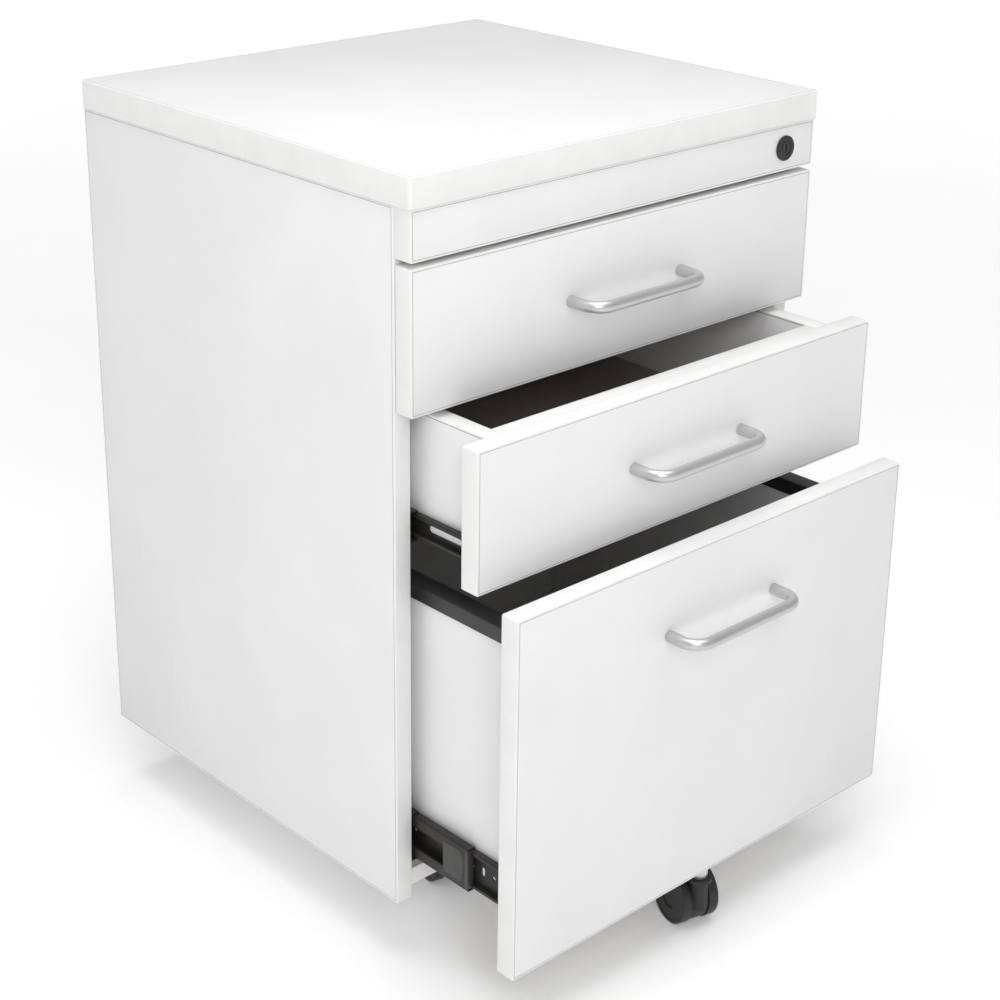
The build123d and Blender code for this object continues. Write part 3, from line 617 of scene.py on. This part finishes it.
def make_carcass():
    """The boards of the case, with the lock bar's groove in the right side panel."""
    node_board("lid_panel", Z, "root", corner=lid_corner)
    node_board("side_panel_left", X, "root")
    node_board("back_panel", Y, "root")
    node_board("base_panel", Z, "root")
    low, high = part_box("lock_rail")
    middle = (low.z + high.z) / 2
    node_board(
        "lock_rail", Y, "root", corner=front_corner, corners=lambda edge: edge.verts[0].co.z < middle
    )
    low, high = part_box("side_panel_right")
    panel = board("side_panel_right_board", low, high, X)
    bar_low, bar_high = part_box("lock_bar")
    bar_travel = joints["lock_bar_slide"]["range_m"][1]
    foot = bar_low.z - bar_travel - groove_spare
    groove = block(
        "groove",
        (low.x - groove_room, bar_high.y - bar_width - groove_room, foot),
        (low.x + groove_depth, bar_high.y + groove_room, high.z + groove_room),
    )
    give(groove, HARDBOARD)
    cut(panel, groove)
    fit(smooth(panel), "root", "board", "side_panel_right")


def make_drawer(drawer):
    """The front, the box and the bottom of a drawer."""
    node_board(drawer + "_front", Y, drawer, corner=front_corner)
    node_board(drawer + "_inner_front", Y, drawer)
    node_board(drawer + "_back", Y, drawer)
    low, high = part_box(drawer + "_sides")
    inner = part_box(drawer + "_inner_front")[1].x
    # the box sides get the darker seam of glue and painted shade
    side = board(drawer + "_side_boards", (inner, low.y, low.z), high, X, glue_and_shade=BOX_GLUE_AND_SHADE_LINE)
    fit(mirrored(side), drawer, "board", drawer + "_sides")
    low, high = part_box(drawer + "_bottom")
    bottom = block(drawer + "_bottom_sheet", low, high)
    give(bottom, HARDBOARD)
    apply_modifier(bottom, "BEVEL", width=0.4 * MM, segments=2)
    fit(smooth(bottom), drawer, "box_bottom", drawer + "_bottom")


# ---------------------------------------------------------------- handles
def make_handle(drawer):
    """A round bar bent twice, standing off the front on its two ends."""
    low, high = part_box(drawer + "_handle")
    radius = (high.z - low.z) / 2
    face = high.y
    height = (low.z + high.z) / 2
    left, right = low.x + radius, high.x - radius
    reach = face - (low.y + radius)
    bend_place = face - reach + handle_bend
    bpy.ops.object.select_all(action="DESELECT")
    bpy.ops.mesh.primitive_circle_add(
        vertices=40, radius=radius, fill_type="NGON", location=(left, face, height),
        rotation=(math.radians(90), 0, 0),
    )
    piece = start_piece(bpy.context.object, drawer + "_bar_handle")
    edit(piece)
    bpy.ops.mesh.select_all(action="SELECT")

    def run(step):
        bpy.ops.mesh.extrude_region_move(TRANSFORM_OT_translate={"value": step})

    def turn(x):
        bpy.ops.mesh.spin(
            steps=handle_bend_steps,
            angle=math.radians(-90),
            center=(x, bend_place, height),
            axis=(0, 0, 1),
        )

    run((0, -(reach - handle_bend), 0))
    turn(left + handle_bend)
    run((right - left - 2 * handle_bend, 0, 0))
    turn(right - handle_bend)
    run((0, reach - handle_bend, 0))
    leave_edit()
    outward(piece)
    edit(piece)
    pick(piece, "FACE", facing((0, 1, 0), face))
    bpy.ops.mesh.bevel(offset=0.5 * MM, segments=2, affect="EDGES")
    leave_edit()
    give(piece, SATIN_HANDLE)
    fit(smooth(piece), drawer, "satin_handle", drawer + "_handle")


# ---------------------------------------------------------------- screws and fittings
def cross_recess(radius, depth):
    """A cutter for a cross recess in a head whose top is at the origin, facing +Z."""
    arm = radius * 0.22
    pieces = [
        block("recess", (-radius, -arm, -depth), (radius, arm, depth)),
        block("recess", (-arm, -radius, -depth), (arm, radius, depth)),
    ]
    combine(*pieces, "UNION")
    return pieces[0]


def screw(name, shank, head, height, length):
    """A pan-head screw: its head stands on the origin towards +Z, its shank goes down."""
    piece = round_bar(name, (0, 0, height / 2), UP, head, height, 28)
    edit(piece)
    pick(piece, "FACE", facing(UP, height))
    bpy.ops.mesh.bevel(offset=height * 0.62, segments=4, affect="EDGES")
    pick(piece, "FACE", facing(DOWN, 0.0))
    bpy.ops.mesh.inset(thickness=head - shank)
    bpy.ops.mesh.extrude_region_move(TRANSFORM_OT_translate={"value": (0, 0, -length + shank)})
    bpy.ops.mesh.inset(thickness=shank * 0.6, depth=shank)
    leave_edit()
    recess = cross_recess(head * 0.55, height * 0.6)
    recess.data.transform(Matrix.Translation((0, 0, height)))
    cut(piece, recess)
    outward(piece)
    give(piece, ZINC)
    return smooth(piece, 30)


def standing(point, direction):
    """Turns +Z towards a direction and moves the origin to a point."""
    turn = Vector(direction).to_track_quat("Z", "Y").to_matrix().to_4x4()
    return Matrix.Translation(point) @ turn


def make_handle_screws(drawer):
    """The two machine screws that hold a handle from inside the drawer."""
    low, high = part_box(drawer + "_handle_screws")
    handle_low, handle_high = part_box(drawer + "_handle")
    radius = (handle_high.z - handle_low.z) / 2
    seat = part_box(drawer + "_inner_front")[1].y
    height = (low.z + high.z) / 2
    pattern = screw("handle_screw", *machine_screw, seat - low.y)
    ends = (handle_low.x + radius, handle_high.x - radius)
    places = [standing((x, seat, height), (0, 1, 0)) for x in ends]
    piece = copies(drawer + "_machine_screws", pattern, places)
    fit(piece, drawer, "zinc", drawer + "_handle_screws")


def make_runner_screws():
    """The screws that hold the cabinet members to the side panels, three to a member."""
    places = []
    for drawer in DRAWERS:
        low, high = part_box(drawer + "_cabinet_runners")
        sheet = sheet_of(drawer)
        middle = (low.z + high.z) / 2
        ends = [low.y + inset for inset in runner_screw_front_insets]
        for y in (*ends, high.y - runner_screw_rear_inset):
            for side in (-1, 1):
                places.append(standing((side * (high.x - sheet), y, middle), (-side, 0, 0)))
    pattern = screw("runner_screw", *runner_screw, runner_screw_depth + small_sheet)
    fit(copies("runner_wood_screws", pattern, places), "root", "zinc", "runner_screws")


def make_castor_screws():
    """The screws that hold the corner castors' plates to the base, four to a plate."""
    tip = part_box("castor_screws")[1].z
    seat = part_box("castor_plates")[1].z - castor_plate_thickness
    sides = (-castor_plate_half_pitch, castor_plate_half_pitch)
    places = []
    for castor in CORNER_CASTORS:
        pin = joints[castor + "_castor_swivel"]["pos_m"]
        for x in sides:
            for y in sides:
                places.append(standing((pin[X] + x, pin[Y] + y, seat), DOWN))
    pattern = screw("castor_screw", *castor_screw, tip - seat)
    fit(copies("castor_wood_screws", pattern, places), "root", "zinc", "castor_screws")


def make_cam_fittings():
    """The heads of the cam fittings, a touch proud of the boards' inner faces."""
    pattern = round_bar("cam", (0, 0, cam_proud - cam_thickness / 2), UP, cam_radius, cam_thickness, 36)
    edit(pattern)
    pick(pattern, "FACE", facing(UP, cam_proud))
    bpy.ops.mesh.bevel(offset=0.2 * MM, segments=2, affect="EDGES")
    pick(pattern, "FACE", facing(UP, cam_proud))
    bpy.ops.mesh.inset(thickness=1.2 * MM)
    bpy.ops.mesh.inset(thickness=0.3 * MM, depth=-0.2 * MM)
    leave_edit()
    cut(pattern, cross_recess(4.0 * MM, 1.2 * MM))
    outward(pattern)
    give(smooth(pattern, 30), ZINC)
    side_low, side_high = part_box("side_panel_right")
    base_low, base_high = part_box("base_panel")
    back_low, back_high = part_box("back_panel")
    places = []
    for side in (-1, 1):
        for y in (side_low.y + cam_end_inset, side_high.y - cam_end_inset):
            wall = (side * side_low.x, y, side_high.z - cam_inset)
            places.append(standing(wall, (-side, 0, 0)))
            places.append(standing((side * (base_high.x - cam_inset), y, base_low.z), DOWN))
        for z in (side_low.z + cam_height_inset, side_high.z - cam_height_inset):
            rear = (side * (back_high.x - cam_inset), back_low.y, z)
            places.append(standing(rear, (0, -1, 0)))
    fit(copies("cam_heads", pattern, places), "root", "zinc", "cam_fittings")


# ---------------------------------------------------------------- runners
def folded_strip(name, outline, y_span, sheet, bend):
    """Sheet metal folded along Y. The outline is the outer face of its section, in x and z."""
    (x0, z0), (x1, z1) = outline[:2]
    slope = math.atan2(z1 - z0, x1 - x0)
    length = math.hypot(x1 - x0, z1 - z0)
    middle = ((x0 + x1) / 2, (y_span[0] + y_span[1]) / 2, (z0 + z1) / 2)
    bpy.ops.object.select_all(action="DESELECT")
    bpy.ops.mesh.primitive_plane_add(size=1, location=middle, rotation=(0, -slope, 0))
    bpy.context.object.scale = (length, y_span[1] - y_span[0], 1)
    piece = start_piece(bpy.context.object, name)
    edit(piece)

    def at(point, x, z):
        return abs(point.co.x - x) < same_place and abs(point.co.z - z) < same_place

    pick(piece, "EDGE", lambda edge: all(at(point, x1, z1) for point in edge.verts))
    x, z = x1, z1
    for next_x, next_z in outline[2:]:
        step = (next_x - x, 0, next_z - z)
        bpy.ops.mesh.extrude_region_move(TRANSFORM_OT_translate={"value": step})
        x, z = next_x, next_z

    def fold(edge):
        run = edge.verts[1].co - edge.verts[0].co
        return abs(run.x) + abs(run.z) < same_place and len(edge.link_faces) == 2

    pick(piece, "EDGE", fold)
    bpy.ops.mesh.bevel(offset=bend, segments=4, affect="EDGES")
    bpy.ops.mesh.select_all(action="SELECT")
    bpy.ops.mesh.normals_make_consistent(inside=False)
    leave_edit()
    apply_modifier(piece, "SOLIDIFY", thickness=sheet, offset=sheet_side)
    outward(piece)
    return piece


def channel(name, web, open_to, z_span, y_span, sheet):
    """A pressed runner member: a web, two flanges and the lips that hold the balls."""
    low, high = z_span
    toward = 1 if open_to > web else -1
    tip = open_to - toward * lip_lean
    outline = [
        (tip, low + runner_lip),
        (open_to, low),
        (web, low),
        (web, high),
        (open_to, high),
        (tip, high - runner_lip),
    ]
    return folded_strip(name, outline, y_span, sheet, runner_bend)


def slot_cutter(middle, along, length, width, sides):
    """A cutter with rounded ends, long along Y or Z, through a web that faces X."""
    straight = length - width
    start = list(middle)
    start[along] -= straight / 2
    piece = round_bar("slot", start, (1, 0, 0), width / 2, cutter_reach, sides)
    stretch = [0, 0, 0]
    stretch[along] = straight
    edit(piece)
    pick(piece, "VERT", lambda point: point.co[along] > start[along] - same_place)
    bpy.ops.transform.translate(value=stretch)
    leave_edit()
    return piece


def slot_places(low, high, inset, pitch):
    """Places along a runner at one pitch, the first and last at least an inset from its ends."""
    count = int((high.y - low.y - 2 * inset) // pitch) + 1
    return [low.y + inset + step * pitch for step in range(count)]


def sheet_of(drawer):
    return file_sheet if drawer == "file_drawer" else small_sheet


def make_cabinet_runners(drawer):
    """The pair of runner members that is screwed to the side panels."""
    low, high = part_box(drawer + "_cabinet_runners")
    name = drawer + "_cabinet_members"
    z_span, y_span = (low.z, high.z), (low.y, high.y)
    piece = channel(name, high.x, high.x - cabinet_flange, z_span, y_span, sheet_of(drawer))
    give(piece, E_COAT)
    fit(smooth(mirrored(piece)), "root", "runner_steel", drawer + "_cabinet_runners")


def make_drawer_runners(drawer):
    """The pair of members on the drawer's sides.

    They have long slots, or in the file drawer upright slots, each between two holes.
    """
    low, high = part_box(drawer + "_runners")
    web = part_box(drawer + "_sides")[1].x
    name = drawer + "_drawer_members"
    piece = channel(name, web, high.x, (low.z, high.z), (low.y, high.y), sheet_of(drawer))
    middle = (low.z + high.z) / 2
    cutters = []
    if drawer == "file_drawer":
        for y in slot_places(low, high, file_slot_inset, file_slot_pitch):
            cutters.append(slot_cutter((web, y, middle), Z, file_slot_height, file_slot_width, 16))
            for offset in (-file_hole_offset, file_hole_offset):
                hole = (web, y + offset, middle)
                cutters.append(round_bar("hole", hole, (1, 0, 0), file_hole_radius, cutter_reach, 16))
    else:
        for y in slot_places(low, high, slot_inset, slot_pitch):
            cutters.append(slot_cutter((web, y, middle), Y, slot_length, slot_height, 20))
    cut(piece, joined("cutters", cutters))
    give(piece, E_COAT)
    fit(smooth(mirrored(piece)), drawer, "runner_steel", drawer + "_runners")


def end_cap(web, low, high):
    """The moulded cap on the front end of a middle member, a plate and a rib."""
    front = low.y + cap_front
    face = web + cap_proud
    plate = block(
        "cap_plate",
        (web - cap_root, front, low.z + cap_margin),
        (face, low.y + window_end, high.z - cap_margin),
    )

    def front_corner_edge(edge):
        start, end = (point.co for point in edge.verts)
        at_front = abs(start.y - front) < same_place and abs(end.y - front) < same_place
        return at_front and abs(start.x - end.x) > same_place

    edit(plate)
    pick(plate, "EDGE", front_corner_edge)
    bpy.ops.mesh.bevel(offset=cap_round, segments=8, affect="EDGES")
    pick(plate, "FACE", facing((1, 0, 0), face))
    bpy.ops.mesh.inset(thickness=0.5 * MM, depth=-0.25 * MM)
    bpy.ops.mesh.inset(thickness=1.6 * MM)
    bpy.ops.mesh.inset(thickness=0.6 * MM, depth=0.35 * MM)
    leave_edit()
    rib = block(
        "cap_rib",
        (web - cap_rib_depth, low.y - cap_proud, low.z + cap_rib_margin),
        (face, low.y + cap_rib_thickness, high.z - cap_rib_margin),
    )
    cap = joined("cap", [plate, rib])
    apply_modifier(cap, "BEVEL", width=0.35 * MM, segments=2, limit_method="ANGLE")
    give(cap, CAP_PLASTIC)
    return smooth(cap)


def make_middle_runners():
    """The file drawer's middle members, each with a long window and a moulded end cap."""
    node = "file_drawer_middle_runners"
    name = node + "_pressing"
    low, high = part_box(node)
    web = high.x
    piece = channel(name, web, web - middle_flange, (low.z, high.z), (low.y, high.y), file_sheet)
    middle = (low.z + high.z) / 2
    half_height = (high.z - low.z) / 4
    window = block(
        "window",
        (web - cutter_reach / 2, low.y + window_end, middle - half_height),
        (web + cutter_reach / 2, high.y - window_end, middle + half_height),
    )
    edit(window)
    pick(window, "EDGE", lambda edge: abs(edge.verts[0].co.x - edge.verts[1].co.x) > same_place)
    bpy.ops.mesh.bevel(offset=window_corner, segments=4, affect="EDGES")
    leave_edit()
    cut(piece, window)
    give(piece, E_COAT)
    piece = mirrored(joined(name, [smooth(piece), end_cap(web, low, high)]))
    fit(piece, "file_middle_runners", "runner_steel", node)


def make_hanging_rails():
    """Folded caps over the file drawer's sides that the hanging folders hook onto."""
    low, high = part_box("hanging_rails")
    front_low, front_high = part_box("file_drawer_inner_front")
    thickness = front_high.y - front_low.y
    inner = front_high.x - rail_sheet - rail_gap
    outline = [(inner, low.z), (inner, high.z), (high.x, high.z), (high.x, low.z)]
    piece = folded_strip("folder_rails", outline, (low.y, high.y), rail_sheet, rail_bend)
    # the inner skirt stops short of the box's inner front and back
    front_notch = (low.y - MM, front_high.y + rail_gap)
    back_notch = (high.y - thickness - rail_gap, high.y + MM)
    for y_low, y_high in (front_notch, back_notch):
        notch = block(
            "notch",
            (inner - MM, y_low, low.z - MM),
            (inner + rail_sheet + 0.02 * MM, y_high, high.z - rail_sheet - notch_room),
        )
        cut(piece, notch)
    give(piece, RAIL_PAINT)
    fit(smooth(mirrored(piece)), "file_drawer", "rail_black", "hanging_rails")


# ---------------------------------------------------------------- lock
def make_lock():
    """The rosette of the lock, with a rolled rim and a dished ring round the plug."""
    low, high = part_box("lock_housing")
    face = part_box("lock_rail")[0].y
    x, z = (low.x + high.x) / 2, (low.z + high.z) / 2
    radius = (high.x - low.x) / 2
    forward = (0, -1, 0)
    piece = round_bar("lock_rosette", (x, (low.y + face) / 2, z), forward, radius, face - low.y, 64)
    edit(piece)
    pick(piece, "FACE", facing(forward, -low.y))
    bpy.ops.mesh.bevel(offset=rosette_round, segments=4, affect="EDGES")
    pick(piece, "FACE", facing(forward, -low.y))
    bpy.ops.mesh.inset(thickness=rosette_rim)
    bpy.ops.mesh.inset(thickness=rosette_step, depth=-rosette_dish)
    rim = rosette_round + rosette_rim + rosette_step
    bpy.ops.mesh.inset(thickness=radius - rim - plug_bore - collar_width)
    bpy.ops.mesh.inset(thickness=collar_width, depth=collar_rise)
    leave_edit()
    barrel_middle = (x, (face + high.y) / 2, z)
    barrel = round_bar("barrel", barrel_middle, forward, barrel_radius, high.y - face, 48)
    combine(piece, barrel, "UNION")
    cut(piece, round_bar("bore", (x, face, z), forward, plug_bore, bore_reach, 48))
    outward(piece)
    give(piece, LOCK_BLACK)
    fit(smooth(piece, 30), "root", "lock_metal", "lock_housing")


def softened(node, body, slot, finish_used, width):
    """A copy of a CAD node's shape with its edges eased, in the node's place."""
    source = frame["nodes"][node]
    piece = source.copy()
    piece.data = source.data.copy()
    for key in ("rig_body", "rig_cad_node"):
        if key in piece:
            del piece[key]
    piece.parent = None
    bpy.context.scene.collection.objects.link(piece)
    piece.name = node + "_piece"
    piece.data.name = piece.name
    outward(piece)
    edit(piece)
    bpy.ops.mesh.select_all(action="SELECT")
    bpy.ops.mesh.dissolve_limited(angle_limit=math.radians(1.5))
    leave_edit()
    apply_modifier(
        piece, "BEVEL", width=width, segments=2, limit_method="ANGLE",
        angle_limit=math.radians(40), use_clamp_overlap=True,
    )
    give(piece, finish_used)
    return fit(smooth(piece), body, slot, node)


# ---------------------------------------------------------------- castors
def wheel(side):
    """One wheel on the X axis, its dished outer face towards the side given, 1 or -1."""
    outer = wheel_inner + wheel_width
    outer_face = facing((side, 0, 0), outer)
    middle = (side * (wheel_inner + wheel_width / 2), 0, 0)
    piece = round_bar("wheel", middle, (side, 0, 0), wheel_radius, wheel_width, 72)
    edit(piece)
    pick(piece, "FACE", outer_face)
    bpy.ops.mesh.bevel(offset=tread_round, segments=6, affect="EDGES")
    pick(piece, "FACE", facing((-side, 0, 0), -wheel_inner))
    bpy.ops.mesh.bevel(offset=0.3 * MM, segments=2, affect="EDGES")
    # a rim, a dished face and a sunk hub
    pick(piece, "FACE", outer_face)
    bpy.ops.mesh.inset(thickness=1.6 * MM)
    bpy.ops.mesh.inset(thickness=0.5 * MM, depth=-0.6 * MM)
    bpy.ops.mesh.inset(thickness=9.5 * MM, depth=-0.5 * MM)
    bpy.ops.mesh.inset(thickness=0.7 * MM, depth=-1.0 * MM)
    leave_edit()
    give(piece, WHEEL_PLASTIC)
    return smooth(piece, 40)


def make_castor(castor):
    """The wheel pair and the swivelling body of a castor."""
    roll = joints[castor + "_castor_roll"]
    axle = Vector(roll["axis"])
    turn = Matrix.Rotation(math.atan2(axle.y, axle.x), 4, "Z")
    place = Matrix.Translation(roll["pos_m"]) @ turn
    rod = round_bar("axle", (0, 0, 0), (1, 0, 0), axle_radius, axle_length, 24)
    apply_modifier(rod, "BEVEL", width=0.5 * MM, segments=2, limit_method="ANGLE")
    give(rod, ZINC)
    pair = [wheel(-1), wheel(1), smooth(rod)]
    for piece in pair:
        piece.data.transform(place)
    wheels = joined(castor + "_twin_wheels", pair)
    fit(wheels, castor + "_castor_wheels", "wheel_plastic", castor + "_castor_wheels")
    softened(castor + "_castor_body", castor + "_castor", "black_plastic", BLACK_PLASTIC, 0.7 * MM)


# ---------------------------------------------------------------- kept CAD pieces
def finish_cad_nodes():
    """The ball cages keep their CAD shapes and only get a finish."""
    for cages in ("drawer_1_ball", "drawer_2_ball", "file_drawer_outer", "file_drawer_inner"):
        give(frame["nodes"][cages + "_cages"], BALL_STEEL)


# ---------------------------------------------------------------- room, light and camera
def make_floor():
    """A pale floor, faintly self-lit, more so far away, so that it stays light all over."""
    bpy.ops.object.select_all(action="DESELECT")
    bpy.ops.mesh.primitive_plane_add(size=floor_size, location=(0, 0, 0))
    floor = start_piece(bpy.context.object, "floor")
    material = finish("pale_floor", grey(0.90), grey(0.93), (0.6, 0.75), 300, 2, (0.02, 0.0))
    tree = material.node_tree
    shader = tree.nodes["Principled BSDF"]
    shader.inputs["Emission Color"].default_value = white
    place = tree.nodes.new("ShaderNodeTexCoord")
    reach = tree.nodes.new("ShaderNodeVectorMath")
    reach.operation = "LENGTH"
    glow = tree.nodes.new("ShaderNodeMapRange")
    glow.interpolation_type = "SMOOTHSTEP"
    glow.inputs["From Min"].default_value = glow_start
    glow.inputs["From Max"].default_value = glow_end
    glow.inputs["To Min"].default_value = floor_glow
    glow.inputs["To Max"].default_value = far_floor_glow
    tree.links.new(place.outputs["Object"], reach.inputs[0])
    tree.links.new(reach.outputs["Value"], glow.inputs["Value"])
    tree.links.new(glow.outputs["Result"], shader.inputs["Emission Strength"])
    give(floor, material)


def area_light(name, place, target, size, power):
    """A round lamp turned to a target."""
    data = bpy.data.lights.new(name, "AREA")
    data.shape = "DISK"
    data.size = size
    data.energy = power
    lamp = bpy.data.objects.new(name, data)
    bpy.context.scene.collection.objects.link(lamp)
    lamp.location = place
    lamp.rotation_mode = "QUATERNION"
    lamp.rotation_quaternion = (Vector(target) - Vector(place)).to_track_quat("-Z", "Y")


def make_lights():
    """Soft light from all round, a pure white backdrop, and three large lamps."""
    world = bpy.data.worlds.new("soft_room")
    world.use_nodes = True
    tree = world.node_tree
    surround = tree.nodes["Background"]
    surround.inputs["Color"].default_value = white
    surround.inputs["Strength"].default_value = room_light
    backdrop = tree.nodes.new("ShaderNodeBackground")
    backdrop.inputs["Color"].default_value = white
    seen = tree.nodes.new("ShaderNodeLightPath")
    choice = tree.nodes.new("ShaderNodeMixShader")
    tree.links.new(seen.outputs["Is Camera Ray"], choice.inputs["Fac"])
    tree.links.new(surround.outputs["Background"], choice.inputs[1])
    tree.links.new(backdrop.outputs["Background"], choice.inputs[2])
    tree.links.new(choice.outputs["Shader"], tree.nodes["World Output"].inputs["Surface"])
    bpy.context.scene.world = world
    area_light("overhead", (-0.2, -0.3, 3.4), (0, 0, 0.5), 3.0, overhead_power)
    area_light("by_the_camera", (-1.5, -2.1, 1.9), (0, -0.1, 0.45), 1.4, front_power)
    area_light("left_side", (-3.0, 0.2, 1.5), (0, 0, 0.4), 1.8, side_power)
    bpy.context.scene.view_settings.view_transform = "Standard"


def make_camera():
    data = bpy.data.cameras.new("camera")
    data.sensor_width = sensor_width
    data.lens = focal_length
    data.shift_x = shift_x
    data.shift_y = shift_y
    camera = bpy.data.objects.new("camera", data)
    bpy.context.scene.collection.objects.link(camera)
    camera.location = camera_place
    camera.rotation_euler = [math.radians(turn) for turn in (camera_tilt, camera_roll, camera_heading)]
    bpy.context.scene.camera = camera


# ---------------------------------------------------------------- the cabinet
make_camera()
make_lights()
make_floor()
make_carcass()
for drawer in DRAWERS:
    make_drawer(drawer)
    make_handle(drawer)
    make_handle_screws(drawer)
    make_cabinet_runners(drawer)
    make_drawer_runners(drawer)
    softened(drawer + "_lock_catch", drawer, "black_plastic", BLACK_PLASTIC, 0.4 * MM)
make_middle_runners()
make_hanging_rails()
make_runner_screws()
make_castor_screws()
make_cam_fittings()
make_lock()
softened("lock_plug", "lock_plug", "lock_metal", LOCK_BLACK, 0.25 * MM)
softened("lock_bar", "lock_bar", "aluminium_bar", MILL_ALUMINIUM, 0.3 * MM)
softened("castor_plates", "root", "zinc", ZINC, 0.4 * MM)
softened("file_castor_stem", "file_drawer", "zinc", ZINC, 0.4 * MM)
for castor in (*CORNER_CASTORS, "file"):
    make_castor(castor)
finish_cad_nodes()

bpy.context.view_layer.update()
